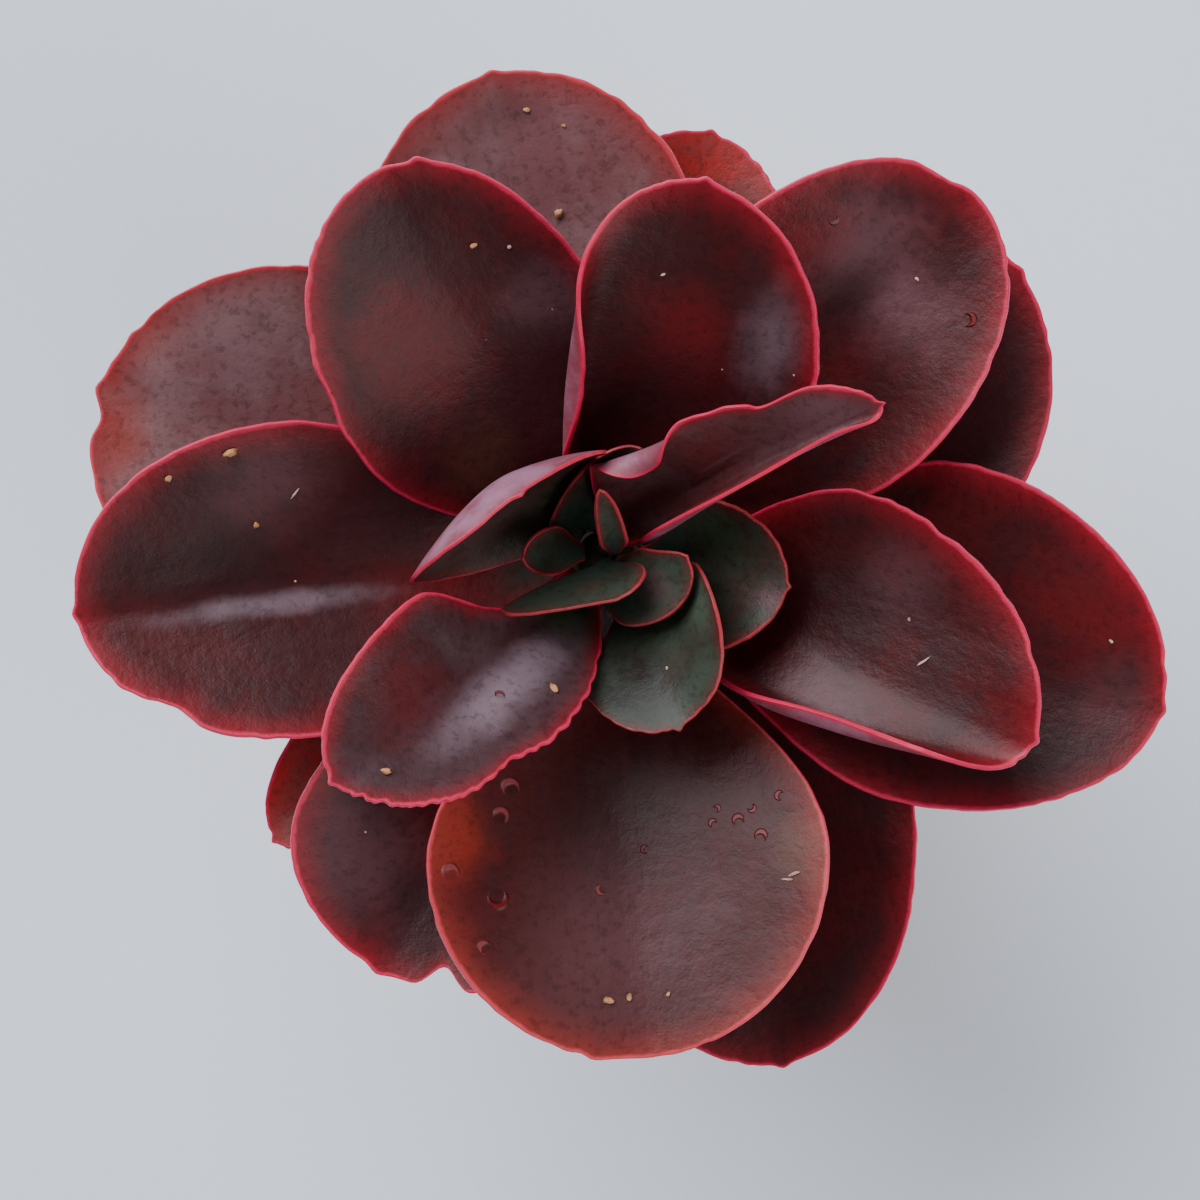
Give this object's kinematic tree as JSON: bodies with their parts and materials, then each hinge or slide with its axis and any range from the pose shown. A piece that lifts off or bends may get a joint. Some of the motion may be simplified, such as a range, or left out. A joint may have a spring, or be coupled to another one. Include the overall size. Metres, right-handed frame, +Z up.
{
  "type": "potted echeveria",
  "caption": "Potted succulent rosette of broad fleshy leaves with waved margins on a short stem, standing in soil in a plain clay pot.",
  "frame": {"origin": "middle of the pot's foot, at the level of the ground", "axes": "+Z up; +Y is the top of the picture and +X its right side, seen from straight above"},
  "size_m": [0.1767, 0.1661, 0.1645],
  "materials": {
    "burgundy_leaf": "satin",
    "green_leaf": "satin",
    "bark": "matte",
    "earth": "matte",
    "clay": "matte"
  },
  "bodies": {
    "root": {"pot": "clay", "soil": "earth", "stem": "bark", "leaf_01": "burgundy_leaf", "leaf_02": "burgundy_leaf", "leaf_03": "burgundy_leaf", "leaf_04": "burgundy_leaf", "leaf_05": "burgundy_leaf", "leaf_06": "burgundy_leaf", "leaf_07": "burgundy_leaf", "leaf_08": "burgundy_leaf", "leaf_09": "burgundy_leaf", "leaf_10": "burgundy_leaf", "leaf_11": "burgundy_leaf", "leaf_12": "burgundy_leaf", "leaf_13": "burgundy_leaf", "leaf_14": "burgundy_leaf", "leaf_15": "green_leaf", "leaf_16": "green_leaf", "leaf_17": "burgundy_leaf", "leaf_18": "green_leaf", "leaf_19": "burgundy_leaf", "leaf_20": "green_leaf", "leaf_21": "green_leaf", "leaf_22": "green_leaf", "leaf_23": "green_leaf", "leaf_24": "green_leaf"}
  },
  "joints": []
}
